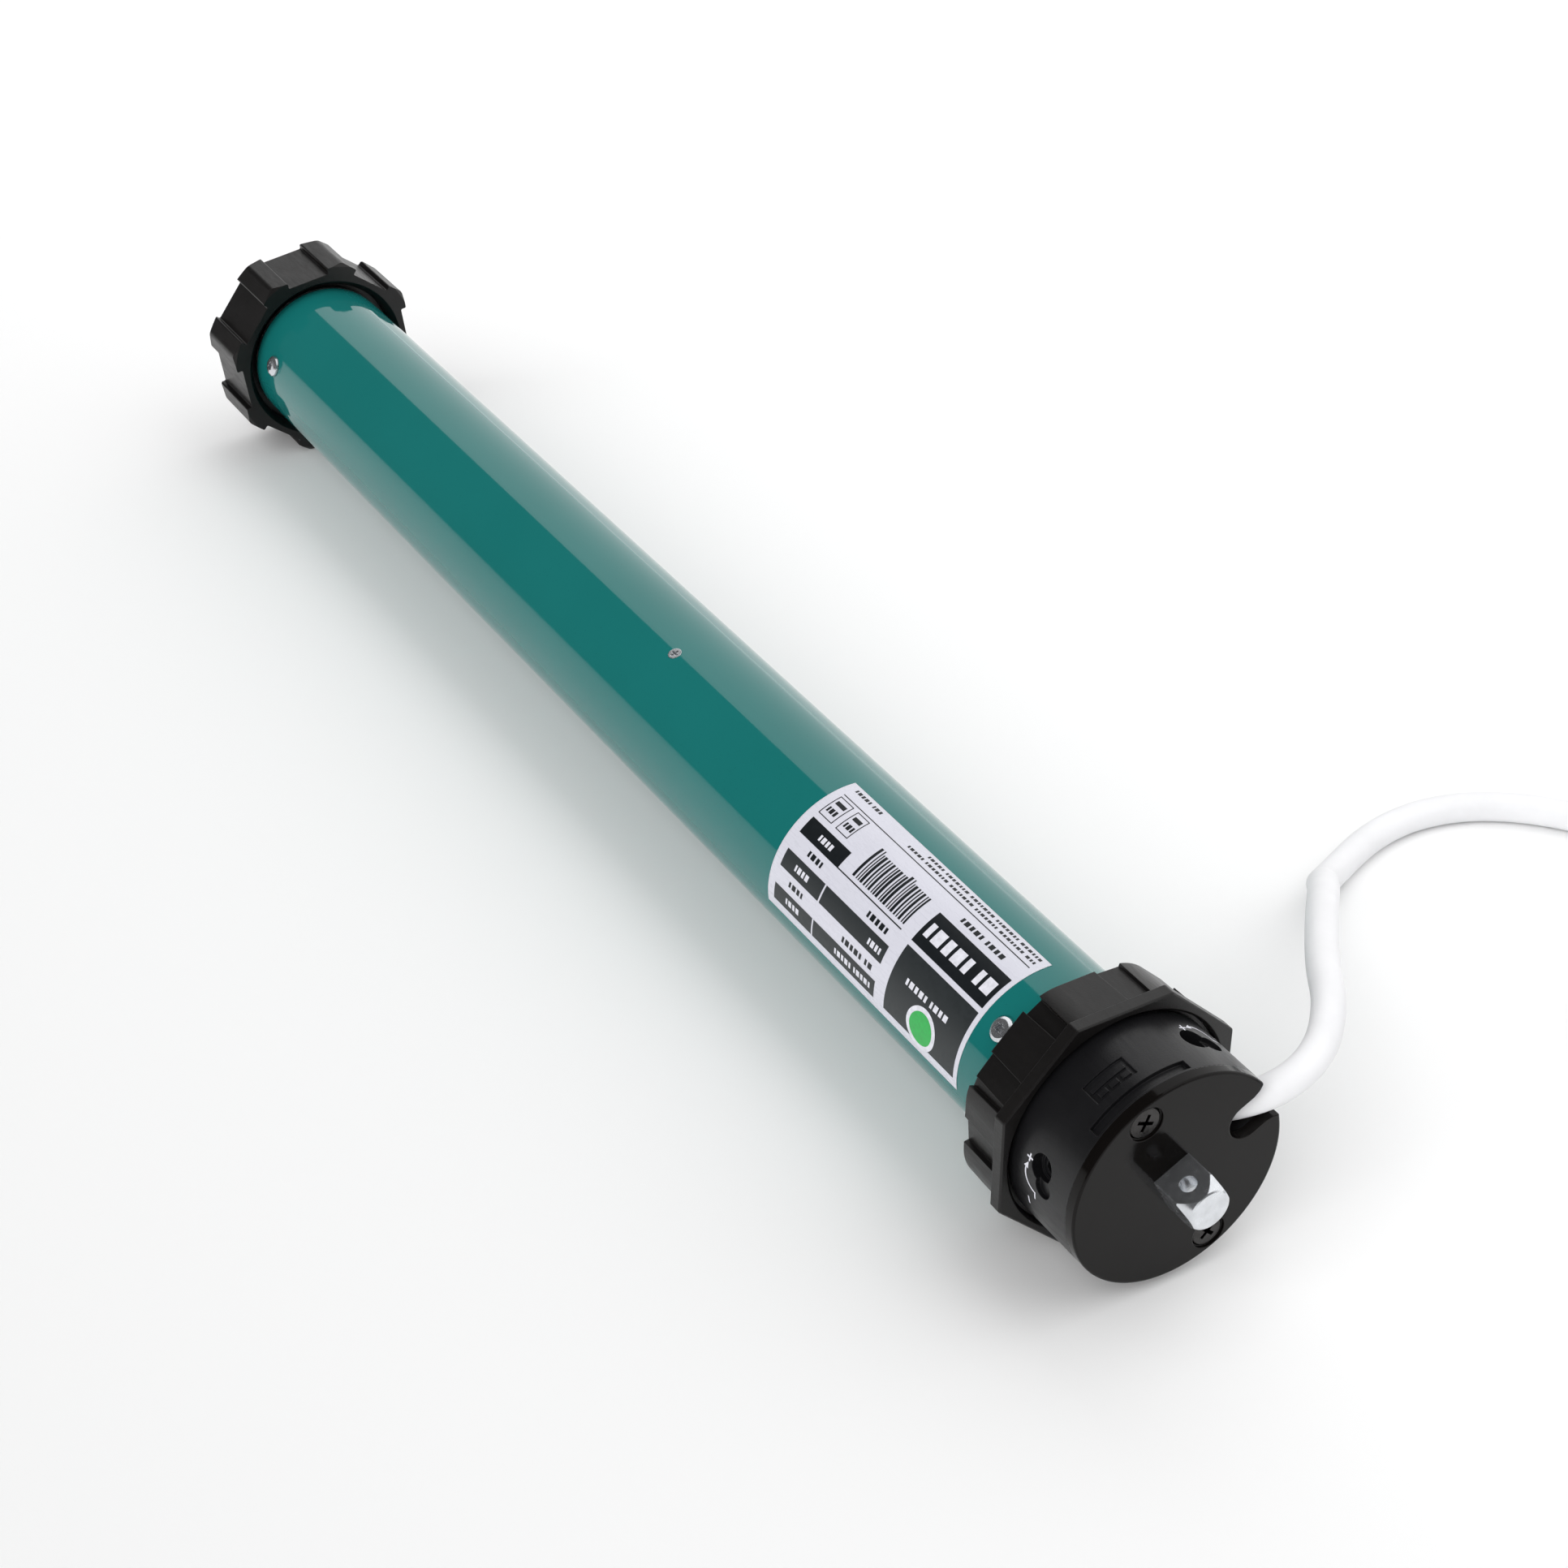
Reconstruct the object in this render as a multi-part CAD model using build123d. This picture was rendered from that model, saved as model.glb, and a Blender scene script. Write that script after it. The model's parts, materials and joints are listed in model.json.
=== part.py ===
from build123d import *
import os
from math import acos, atan2, cos, degrees, pi, radians, sin, tan

# Tubular motor for a roller shutter, in millimetres.
#
# X runs along the motor, out of the head's square pin. The origin is the centre of the face
# plate's outer face, so the motor lies along negative X. +Z is up as the motor lies on a floor.
# The head is turned about X, so its own pieces are drawn upright and then rolled: in a rolled
# piece Y runs towards the cable notch and Z across the two face screws.

# ------------------------------------------------------------------ driving dimensions

HEAD_ROLL = 26.5          # degrees, how far the head is turned about X

HEAD_R = 27.5             # face plate and drum
PLATE_T = 2.8
DRUM_BACK = -23.4         # rear end of the drum, inside the crown's recess
DRUM_WALL_R = 24.0        # inside of the drum
FRONT_WALL = -7.0         # back of the drum's thick front wall
NECK_R = 20.3             # journal that the limit drive ring turns on
NECK_BORE_R = 18.0
NECK_BACK = -36.6

PIN_SQUARE = 10.0
PIN_OUT = 11.2            # how far the pin stands out of the plate
PIN_CORNER_R = 7.0        # the round bar that the pin's square is cut from
PIN_HOLE_R = 2.0
PIN_HOLE_X = 5.9

NOTCH_IN = 19.6           # centre of the notch's round inner end, from the axis
NOTCH_R = 4.7
FACE_SCREW_AT = 22.5      # radius of the two face screws
ADJUSTER_X = -12.8
ADJUSTER_ANGLES = {"upper": 141.5, "lower": 38.5}     # about X, in the rolled head
ADJUSTER_R = 2.6
ADJUSTER_TOP = 24.7       # outer end of an adjuster, from the axis
HOLE_MOUTH_R = 3.4        # the wider mouth of the hole above it

CROWN_FRONT = -22.0
CROWN_FLANGE_T = 3.3
CROWN_BACK = -38.0
CROWN_FLANGE_FLATS = 61.3
CROWN_BODY_FLATS = 59.4
CORNER_ANGLE = 22.5       # the crown's first corner, from +Y towards +Z
CROWN_ROUNDING = 14.0     # of the body's eight corners
CROWN_TAPER = 1.5         # degrees, the body's narrowing towards its back
# Recesses between the crown's pads, the same in both half-turns. For each: the angle where it
# starts and its floor's radius there, then the same where it ends.
CROWN_RECESSES = (
    (31.0, 29.7, 41.0, 28.9),
    (71.5, 30.0, 83.0, 29.0),
    (112.0, 29.5, 119.7, 29.0),
    (142.5, 29.1, 155.0, 30.3),
    (155.0, 29.7, 158.2, 29.7),
    (176.0, 29.0, 188.5, 28.8),
)

TUBE_R = 22.5
TUBE_WALL = 1.0
TUBE_FRONT = -37.5
TUBE_BACK = -446.0
INSIDE_R = 21.4           # whatever is pushed into the tube

HEAD_SCREW_X = -44.7
HEAD_SCREW_ANGLE = 134.0
STATOR_SCREW_X = -207.0
STATOR_SCREW_ANGLE = 106.6
GEARBOX_SCREW_X = -434.2
GEARBOX_SCREW_ANGLE = 162.0

LABEL_FROM, LABEL_TO = -133.2, -51.4
LABEL_ANGLES = (85.2, 187.4)
LABEL_T = 0.12

WHEEL_FRONT, WHEEL_BACK = -443.5, -465.0
WHEEL_CORNER_R = 31.8
WHEEL_CORNER_ANGLE = 30.0
RIDGE_ROUNDING = 2.4
VALLEY_R = 27.6
VALLEY_WIDTH = 13.4
VALLEY_ROUNDING = 0.5
SHAFT_SQUARE = 9.8
SHAFT_END = -469.5

# Gear train: three planet stages in one ring gear, 5.5 to 1 each.
GEAR_MODULE = 0.65
RING_TEETH, SUN_TEETH, PLANET_TEETH = 54, 12, 21
PLANETS = 3
PRESSURE_ANGLE = 25.0
TOOTH_THINNING = 0.07     # taken off each tooth's width, for backlash
PLANET_ORBIT = GEAR_MODULE * (SUN_TEETH + PLANET_TEETH) / 2
PLANET_PIN_R = 1.6
PLANET_BORE_R = 1.67
RING_GEAR_FROM, RING_GEAR_TO = -396.0, -314.0
# Each stage: the planets' span along X and the back of its carrier plate.
STAGES = (
    (-329.7, -320.0, -334.0),
    (-350.0, -337.0, -355.3),
    (-380.0, -358.3, -389.3),
)

# Limit unit: a ring gear turned by the crown, a pinion and two limit wheels.
LIMIT_MODULE = 0.7
LIMIT_RING_TEETH, LIMIT_PINION_TEETH = 60, 10
COUNTER_MODULE = 0.4
COUNTER_TEETH, LIMIT_WHEEL_TEETH = 10, 24
LIMIT_PINION_AT = LIMIT_MODULE * (LIMIT_RING_TEETH - LIMIT_PINION_TEETH) / 2
LIMIT_WHEEL_Y = 5.7
LIMIT_WHEEL_Z = LIMIT_PINION_AT - (
    (COUNTER_MODULE * (COUNTER_TEETH + LIMIT_WHEEL_TEETH) / 2) ** 2 - LIMIT_WHEEL_Y**2
) ** 0.5
CAM_R = 4.4

# Supply cable: where it leaves the head and how it then lies on the floor.
CABLE_R = 3.9
FLOOR_Z = -CROWN_FLANGE_FLATS / 2
CABLE_Z = FLOOR_Z + CABLE_R
COIL_CENTRE = (10.0, 198.0)
COIL_MEAN_R = 42.5
COIL_WIDE, COIL_HIGH = 3, 2               # turns beside each other and on each other
CORE_R = 1.25
# From the plug through the notch, over and down to the floor, and on to the coil's lowest turn.
CABLE_ROUTE = (
    (-8.9, 15.6, 7.3),
    (-1.6, 23.3, 11.1),
    (-2.4, 38.4, 15.6),
    (-12.9, 49.9, 18.0),
    (-25.1, 57.5, 17.0),
    (-44.4, 73.7, 12.0),
    (-66.9, 94.6, 0.0),
    (-92.0, 117.0, CABLE_Z),
    (-104.0, 146.0, CABLE_Z),
    (-102.0, 170.0, CABLE_Z),
    (-88.0, 190.0, CABLE_Z),
    (-61.5, 206.5, CABLE_Z),
    (-36.9, 225.2, CABLE_Z),
)
# From the coil's uppermost turn down to the floor again, where the sheath ends.
TAIL_ROUTE = (
    (60.3, 177.8, CABLE_Z + 2 * CABLE_R),
    (60.8, 162.0, CABLE_Z + 6.0),
    (62.0, 143.0, CABLE_Z),
    (62.3, 127.0, CABLE_Z),
)


# ------------------------------------------------------------------ small helpers


def rod(radius, x0, x1, y=0.0, z=0.0):
    """A cylinder along X."""
    return Pos((x0 + x1) / 2, y, z) * Rot(0, 90, 0) * Cylinder(radius, abs(x1 - x0))


def tube(outer, inner, x0, x1):
    return rod(outer, x0, x1) - rod(inner, x0 - 1, x1 + 1)


def block(x0, x1, y0, y1, z0, z1):
    return Pos((x0 + x1) / 2, (y0 + y1) / 2, (z0 + z1) / 2) * Box(x1 - x0, y1 - y0, z1 - z0)


def spoke(radius, r0, r1, x, angle):
    """A cylinder that points away from the axis, at an angle about X from +Y towards +Z."""
    return Rot(angle, 0, 0) * Pos(x, (r0 + r1) / 2, 0) * Rot(90, 0, 0) * Cylinder(radius, r1 - r0)


def turned(points):
    """A solid of revolution about X, from its outline as (x, radius) pairs."""
    return revolve(make_face(Polyline(*points, close=True)), Axis.X)


def turned_spoke(points, x, angle):
    """A solid of revolution about a line that leaves the axis, as (distance, radius) pairs."""
    shape = revolve(make_face(Polyline(*points, close=True)), Axis.X)
    return Rot(angle, 0, 0) * Pos(x, 0, 0) * Rot(0, 0, 90) * shape


def prism(face, x0, x1):
    """A flat outline, drawn as (y, z), drawn out along X from x0 to x1."""
    return extrude(Plane.YZ.offset(x0) * face, amount=x1 - x0)


def polar(radius, angle):
    return radius * cos(radians(angle)), radius * sin(radians(angle))


def outline(points):
    return make_face(Polyline(*points, close=True))


def facets(radius, sides, angle=0.0):
    """A regular polygon with its first corner at the given angle."""
    return outline([polar(radius, angle + 360 * i / sides) for i in range(sides)])


def octagon(flats, first_corner):
    return facets(flats / 2 / cos(radians(22.5)), 8, first_corner)


def rolled(shape):
    """Turns a piece drawn upright to the head's own angle."""
    return Rot(HEAD_ROLL, 0, 0) * shape


def at_each(shape, count, start=0.0):
    """Copies of a shape spaced evenly about X."""
    return [Rot(start + 360 * i / count, 0, 0) * shape for i in range(count)]


def joined(shapes):
    """One solid out of several that touch."""
    first, *others = shapes
    for other in others:
        first = first + other
    return first


# ------------------------------------------------------------------ gears


def involute(angle):
    return tan(angle) - angle


def gear_outline(teeth, module, add, ded, thinning, turn=0.0):
    """An involute outline of straight facets. One tooth is centred at the angle turn.

    add and ded are in modules. For an internal gear's hole, add is how deep the spaces go, ded is
    how far the teeth stand in from the pitch circle, and thinning is negative: turn is then the
    angle of a space.
    """
    pitch = module * teeth / 2
    base = pitch * cos(radians(PRESSURE_ANGLE))
    low, high = pitch - ded * module, pitch + add * module
    half_pitch = pi / (2 * teeth) + involute(radians(PRESSURE_ANGLE)) - thinning / (2 * pitch)
    steps = 4
    flank = []
    for i in range(steps + 1):
        radius = low + (high - low) * i / steps
        flank.append((radius, half_pitch - involute(acos(min(1.0, base / radius)))))
    points = []
    for tooth in range(teeth):
        centre = radians(turn) + 2 * pi * tooth / teeth
        for radius, half in flank:
            points.append((radius * cos(centre - half), radius * sin(centre - half)))
        for radius, half in reversed(flank):
            points.append((radius * cos(centre + half), radius * sin(centre + half)))
    return outline(points)


def spur(teeth, module, turn=0.0):
    return gear_outline(teeth, module, 0.8, 1.0, TOOTH_THINNING, turn)


def internal(teeth, module, turn=0.0):
    """The hole of a ring gear that has a tooth centred at the angle turn."""
    return gear_outline(teeth, module, 1.0, 0.8, -TOOTH_THINNING, turn + 180 / teeth)


def meshing_turn(driver_teeth, driver_turn, driven_teeth, direction):
    """How far a gear is turned so that it meshes with a driver, seen from it at direction."""
    past = ((direction - driver_turn) / (360 / driver_teeth)) % 1
    return direction + 180 + (past + 0.5) * 360 / driven_teeth


# ------------------------------------------------------------------ head


def face_plate():
    rim = 0.5
    plate = turned([(-PLATE_T, 0), (-PLATE_T, HEAD_R), (-rim, HEAD_R), (-0.15, HEAD_R - 0.15),
                    (0, HEAD_R - rim), (0, 0)])
    mouth = [(NOTCH_IN, NOTCH_R), (23.4, NOTCH_R), (25.2, 5.2), (26.6, 6.2), (27.6, 8.0), (32, 8.0)]
    lower_side = [(y, -z) for y, z in reversed(mouth)]
    notch = outline(mouth + lower_side) + Pos(NOTCH_IN, 0) * Circle(NOTCH_R)
    plate = plate - prism(notch, -4, 1)
    for side in (-1, 1):
        seat = turned([(-4, 0), (-4, 2.2), (-2.7, 2.2), (-0.75, 4.15), (-0.75, 4.3), (1, 4.3),
                       (1, 0)])
        plate = plate - Pos(0, 0, side * FACE_SCREW_AT) * seat
    return rolled(plate - pin_square(-4, 1))


def face_screws():
    body = turned([(-12.4, 0), (-12.4, 1.3), (-11.8, 1.95), (-2.72, 1.95), (-0.95, 3.75),
                   (-0.6, 3.85), (-0.45, 3.6), (-0.35, 0)])
    slot = block(-2.0, 0, -0.45, 0.45, -2.2, 2.2)
    screw = body - slot - Rot(90, 0, 0) * slot
    turns = {-1: 20, 1: 40}
    return [rolled(Pos(0, 0, side * FACE_SCREW_AT) * Rot(turns[side], 0, 0) * screw)
            for side in (-1, 1)]


def pin_square(x0, x1):
    half = PIN_SQUARE / 2
    square = block(x0, x1, -half, half, -half, half)
    return chamfer(square.edges().filter_by(Axis.X), 0.35)


def head_pin():
    nose = turned([(-PLATE_T, 0), (-PLATE_T, PIN_CORNER_R), (7.4, PIN_CORNER_R),
                   (PIN_OUT - 0.25, 5.15), (PIN_OUT, 4.7), (PIN_OUT, 0)])
    cross_hole = Pos(PIN_HOLE_X, 0, 0) * Cylinder(PIN_HOLE_R, 14)
    foot = fillet(block(-5.8, -PLATE_T, -10, 10, -10, 10).edges().filter_by(Axis.X), 2)
    return rolled((pin_square(-PLATE_T, PIN_OUT) & nose) + foot - cross_hole)


def head_housing():
    body = rod(HEAD_R, DRUM_BACK, -PLATE_T) + rod(NECK_R, NECK_BACK, DRUM_BACK + 1)
    body = body - rod(DRUM_WALL_R, -21.4, FRONT_WALL) - rod(NECK_BORE_R, NECK_BACK - 1, -21)
    # bosses for the face screws, and the pocket for the pin's foot
    for side in (-1, 1):
        z = side * FACE_SCREW_AT
        body = body + rod(3.0, -13, FRONT_WALL + 1, 0, z) - rod(2.0, -12.6, -2, 0, z)
    foot = fillet(block(-5.8, -PLATE_T + 1, -10, 10, -10, 10).edges().filter_by(Axis.X), 2)
    body = body - foot
    # bearings of the limit adjusters, and a scoop beside each hole, on the side away from the top
    for name, angle in ADJUSTER_ANGLES.items():
        body = body + spoke(4.6, 18.4, 25, ADJUSTER_X, angle)
        body = body - spoke(ADJUSTER_R + 0.08, 14, 30, ADJUSTER_X, angle)
        body = body - spoke(HOLE_MOUTH_R, ADJUSTER_TOP, 30, ADJUSTER_X, angle)
        scoop_angle = angle + (8.5 if name == "upper" else -8.5)
        body = body - spoke(2.6, 26.3, 30, ADJUSTER_X + 1.5, scoop_angle)
    # pegs that the limit wheels turn on, and the pinion's front bearing and groove
    for side in (-1, 1):
        body = body + rod(1.0, -18.0, FRONT_WALL + 1, side * LIMIT_WHEEL_Y, LIMIT_WHEEL_Z)
    body = body - rod(1.25, FRONT_WALL - 1, -5.2, 0, LIMIT_PINION_AT)
    body = body - rod(1.7, NECK_BACK - 1, -21, 0, LIMIT_PINION_AT)
    body = body - block(-32.3, -25.0, -4.9, 4.9, 12, 24)
    # channel that the cable leaves by, and the saddle that its plug lies on
    body = body - block(-9.5, 0, 10.6, 30, -4.7, 4.7)
    body = body + (block(-20, -9.6, 9, 25, -8.2, -5.6) & rod(25, -20, -9.6))
    # recess along the front edge, and a sunk panel on the drum with raised bars in it
    body = body - on_drum(HEAD_R - 1.1, HEAD_R + 2, -6.2, -3.4, 56.5, 110.5)
    body = body - on_drum(HEAD_R - 0.6, HEAD_R + 2, -14.4, -8.6, 77.5, 100.0)
    body = body + on_drum(HEAD_R - 0.9, HEAD_R, -12.5, -11.5, 79.5, 98.5)
    for start in (79.5, 86.0, 92.5):
        body = body + on_drum(HEAD_R - 0.9, HEAD_R - 0.1, -10.8, -9.4, start, start + 4.5)
    return rolled(body)


def on_drum(inner, outer, x0, x1, start, end):
    """A curved block between two radii and two angles less than 90 degrees apart."""
    far = 2 * outer
    wedge = outline([(0, 0), polar(far, start), polar(2 * far, (start + end) / 2), polar(far, end)])
    return tube(outer, inner, x0, x1) & prism(wedge, x0, x1)


def cable_plug():
    """The moulded plug on the cable's inner end, in line with the cable's first run."""
    start, towards = (Vector(*point) for point in CABLE_ROUTE[:2])
    shape = turned([(-5.6, 0), (-5.6, 4.4), (-4.9, 5.1), (-3.4, 5.1), (-3.4, 4.5), (-2.0, 4.5),
                    (-2.0, 5.1), (-0.6, 5.1), (0, 4.6), (0, 0)])
    along = towards - start
    return Plane(origin=start, x_dir=along, z_dir=along.cross(Vector(0, 1, 0))) * shape


def limit_drive_ring():
    ring = tube(23.6, NECK_R + 0.06, -36.4, -23.6)
    tooth_at = HEAD_ROLL + 90
    teeth = prism(internal(LIMIT_RING_TEETH, LIMIT_MODULE, tooth_at), -31.5, -23.0)
    return ring - teeth


def limit_pinion():
    """Meshes with the drive ring at one end and with both limit wheels at the other."""
    gap_outwards = 90 + 180 / LIMIT_PINION_TEETH
    big = prism(spur(LIMIT_PINION_TEETH, LIMIT_MODULE, gap_outwards), -31.2, -25.7)
    small = prism(spur(COUNTER_TEETH, COUNTER_MODULE, gap_outwards), -17.6, -13.2)
    shaft = prism(facets(1.2, 24), -39.6, -5.4)
    return rolled(Pos(0, 0, LIMIT_PINION_AT) * (big + small + shaft))


def limit_wheel(side):
    """side is 1 for the wheel nearer the cable notch and -1 for the other."""
    drop = LIMIT_PINION_AT - LIMIT_WHEEL_Z
    direction = degrees(atan2(-drop, side * LIMIT_WHEEL_Y))
    pinion_turn = 90 + 180 / COUNTER_TEETH
    turn = meshing_turn(COUNTER_TEETH, pinion_turn, LIMIT_WHEEL_TEETH, direction)
    wheel = prism(spur(LIMIT_WHEEL_TEETH, COUNTER_MODULE, turn), -17.4, -13.4)
    cam = prism(facets(CAM_R, 48), -13.4, -9.4)
    notch = block(-13.3, -9, 3.2, 6, -0.9, 0.9)
    bore = prism(facets(1.08, 24), -18, -9)
    wheel = wheel + cam - Rot(90, 0, 0) * notch - bore
    return rolled(Pos(0, side * LIMIT_WHEEL_Y, LIMIT_WHEEL_Z) * wheel)


def adjuster(angle):
    """A worm with a socketed head, turned from outside through a hole in the drum."""
    shape = turned([(8.6, 0), (8.6, 1.0), (9.6, 1.8), (10.6, 1.3), (11.6, 1.8), (12.6, 1.3),
                    (13.6, 1.8), (14.6, 1.3), (15.6, 1.8), (16.6, 1.3), (18.6, 1.3),
                    (18.6, ADJUSTER_R), (ADJUSTER_TOP - 0.3, ADJUSTER_R),
                    (ADJUSTER_TOP, ADJUSTER_R - 0.3), (ADJUSTER_TOP, 0)])
    socket = Pos(ADJUSTER_TOP - 1.5, 0, 0) * Rot(0, 90, 0) * extrude(RegularPolygon(1.7, 6), 4)
    shape = shape - socket
    return rolled(Rot(angle, 0, 0) * Pos(ADJUSTER_X, 0, 0) * Rot(0, 0, 90) * shape)


SWITCH_TOP = 7.4
BUTTON_Y = 4.4


def limit_switches():
    cases = []
    for side in (-1, 1):
        y0, y1 = sorted((side * 0.3, side * 5.5))
        case = block(-20.5, -8.0, y0, y1, 1.4, SWITCH_TOP)
        well = Pos(-11.4, side * BUTTON_Y, SWITCH_TOP - 0.8) * Cylinder(0.85, 1.8)
        tabs = [block(x - 0.3, x + 0.3, y0 + 1.4, y1 - 1.4, -1.6, 1.5) for x in (-18.5, -14.2, -10)]
        cases.append(rolled(joined([case - well, *tabs])))
    return cases


def switch_button(side):
    return rolled(Pos(-11.4, side * BUTTON_Y, SWITCH_TOP + 0.3) * Cylinder(0.8, 2.6))


def crown_ring():
    """An octagonal flange, and a body of raised pads that narrows a little towards its back."""
    flange_back = CROWN_FRONT - CROWN_FLANGE_T
    flange = prism(octagon(CROWN_FLANGE_FLATS, CORNER_ANGLE), flange_back, CROWN_FRONT)
    flange = fillet(flange.edges().filter_by(Axis.X), 1.2)
    flange = chamfer(flange.faces().sort_by(Axis.X)[-1].edges(), 0.35)
    body_face = octagon(CROWN_BODY_FLATS, CORNER_ANGLE)
    body_face = fillet(body_face.vertices(), CROWN_ROUNDING)
    for turn in (0, 180):
        for start, start_floor, end, end_floor in CROWN_RECESSES:
            low = [polar(start_floor, start + turn), polar(end_floor, end + turn)]
            high = [polar(40, end + turn), polar(40, start + turn)]
            body_face = body_face - outline(low + high)
    backwards = Plane(origin=(flange_back + 0.5, 0, 0), x_dir=(0, 1, 0), z_dir=(-1, 0, 0))
    body = extrude(backwards * mirror(body_face, Plane.XZ), flange_back + 0.5 - CROWN_BACK,
                   taper=CROWN_TAPER)
    cup = turned([(-24.2, 0), (-24.2, 28.4), (-22.6, 28.5), (-21.9, 29.2), (-21.9, 0)])
    return flange + body - cup - rod(23.65, CROWN_BACK - 1, CROWN_FRONT + 1)


# ------------------------------------------------------------------ tube and its fasteners


def screw_holes(radius, seat_radius):
    """Cutters for the screws through the tube: a clear hole and a flat seat for each."""
    cuts = []
    for x, angle in ((HEAD_SCREW_X, HEAD_SCREW_ANGLE), (GEARBOX_SCREW_X, GEARBOX_SCREW_ANGLE)):
        for turn in (0, 180):
            cuts.append(spoke(radius, 15.5, 24, x, angle + turn))
            cuts.append(spoke(seat_radius, TUBE_R - 0.3, 25, x, angle + turn))
    return cuts


def motor_tube():
    shell = tube(TUBE_R, TUBE_R - TUBE_WALL, TUBE_BACK, TUBE_FRONT)
    for cut in screw_holes(1.65, 3.5):
        shell = shell - cut
    for turn in (0, 180):
        shell = shell - stator_screw(turn, 0.05)
    return shell


def pan_screw(x, angle):
    seat = TUBE_R - 0.3
    body = turned_spoke([(16.2, 0), (16.2, 1.0), (16.8, 1.5), (seat, 1.5), (seat, 3.1),
                         (seat + 0.9, 3.0), (seat + 1.5, 2.3), (seat + 1.7, 1.2),
                         (seat + 1.7, 0)], x, angle)
    star = RegularPolygon(1.45, 3) + RegularPolygon(1.45, 3, rotation=60)
    cut = Pos(seat + 0.7, 0, 0) * Rot(0, 90, 0) * extrude(star, 3)
    return body - Rot(angle, 0, 0) * Pos(x, 0, 0) * Rot(0, 0, 90) * cut


def tube_screws():
    """Two screws into the head's spigot and two into the gearbox's end cover."""
    places = ((HEAD_SCREW_X, HEAD_SCREW_ANGLE), (GEARBOX_SCREW_X, GEARBOX_SCREW_ANGLE))
    return [pan_screw(x, angle + turn) for x, angle in places for turn in (0, 180)]


def stator_screw(turn, gap=0.0):
    """A small countersunk screw; gap makes it larger all round, for the hole it sits in."""
    return turned_spoke([(18.6 - gap, 0), (18.6 - gap, 0.9 + gap), (21.3, 0.9 + gap),
                         (22.3, 1.8 + gap), (22.55 + gap, 1.8 + gap), (22.55 + gap, 0)],
                        STATOR_SCREW_X, STATOR_SCREW_ANGLE + turn)


def stator_screws():
    slot = Rot(STATOR_SCREW_ANGLE, 0, 0) * Pos(STATOR_SCREW_X, 22.4, 0) * Box(0.5, 0.8, 2.2)
    cross = slot + Rot(STATOR_SCREW_ANGLE, 0, 0) * Pos(STATOR_SCREW_X, 22.4, 0) * Box(2.2, 0.8, 0.5)
    return [stator_screw(0) - cross, stator_screw(180) - Rot(180, 0, 0) * cross]


def rating_label():
    start, end = LABEL_ANGLES
    band = Pos((LABEL_FROM + LABEL_TO) / 2, TUBE_R + LABEL_T / 2, 0) * Rectangle(
        LABEL_TO - LABEL_FROM, LABEL_T)
    return Rot(start, 0, 0) * revolve(band, Axis.X, end - start)


def tube_spigot():
    """Closes the neck, keeps the drive ring on it, and carries the tube."""
    body = turned([(-52, 16), (-52, 20.6), (-51, INSIDE_R), (TUBE_FRONT, INSIDE_R),
                   (TUBE_FRONT, 22.4), (-36.8, 22.4), (-36.8, 16)])
    body = body - rolled(rod(1.28, -40.2, -36, 0, LIMIT_PINION_AT))
    for turn in (0, 180):
        body = body - spoke(1.5, 15, 23, HEAD_SCREW_X, HEAD_SCREW_ANGLE + turn)
    return body


# ------------------------------------------------------------------ electric motor

CAPACITOR = (-112.0, -60.0)
FRONT_SHIELD = (-128.0, -120.0)
CORE = (-236.0, -146.0)
REAR_SHIELD = (-264.0, -254.0)
BORE_R = 12.0
ROTOR_R = 11.6
JOURNAL_R = 3.0
BEARING_R = 9.5
SLOTS = 12
WIRES_AT = 16.2


def capacitor():
    back, front = CAPACITOR
    can = turned([(back, 0), (back, 14.2), (back + 0.8, 15), (front - 4, 15), (front - 3.4, 14.5),
                  (front - 2.4, 14.5), (front - 1.8, 15), (front, 15), (front, 0)])
    blades = [block(front - 0.5, front + 5, y - 0.4, y + 0.4, -3.1, 3.1) for y in (-5, 5)]
    return rolled(joined([can, *blades]))


def front_end_shield():
    back, front = FRONT_SHIELD
    plate = rod(INSIDE_R, back, front) - rod(BEARING_R, back - 1, -121) - rod(4.2, back, front + 1)
    for angle in (90, 210, 330):
        arm = tube(21.3, 15.05, front - 1, CAPACITOR[1] + 2) & (
            Rot(angle, 0, 0) * block(front - 1, CAPACITOR[1] + 2, 10, 30, -3, 3))
        plate = plate + arm
    lip = tube(INSIDE_R, 20.2, CORE[1], back + 1)
    plate = rolled(plate + lip)
    for wire in wire_lines(0.25):
        plate = plate - wire
    return plate


def rear_end_shield():
    back, front = REAR_SHIELD
    plate = rod(INSIDE_R, back, front) - rod(BEARING_R, -262, front + 1)
    return plate + tube(INSIDE_R, 20.2, front - 1, CORE[0]) - rod(4.2, back - 1, front)


def slot_angles():
    return [HEAD_ROLL + 15 + 360 * i / SLOTS for i in range(SLOTS)]


def stator_core():
    back, front = CORE
    core = tube(INSIDE_R, BORE_R, back, front)
    slot = block(back - 1, front + 1, 13.2, 18.0, -2.0, 2.0)
    mouth = block(back - 1, front + 1, 11, 14, -0.9, 0.9)
    for angle in slot_angles():
        core = core - Rot(angle, 0, 0) * slot - Rot(angle, 0, 0) * mouth
    for turn in (0, 180):
        core = core - spoke(0.95, 18.3, 23, STATOR_SCREW_X, STATOR_SCREW_ANGLE + turn)
    return core


def stator_windings():
    back, front = CORE
    coils = []
    for x, way in ((back, -1), (front, 1)):
        coils.append(turned([(x, 13.4), (x + way * 11, 13.4), (x + way * 14, 14.6),
                             (x + way * 14, 17.2), (x + way * 11, 18.6), (x, 18.2)]))
    for angle in slot_angles():
        coils.append(Rot(angle, 0, 0) * block(back - 1, front + 1, 13.4, 17.8, -1.8, 1.8))
    return joined(coils)


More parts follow.
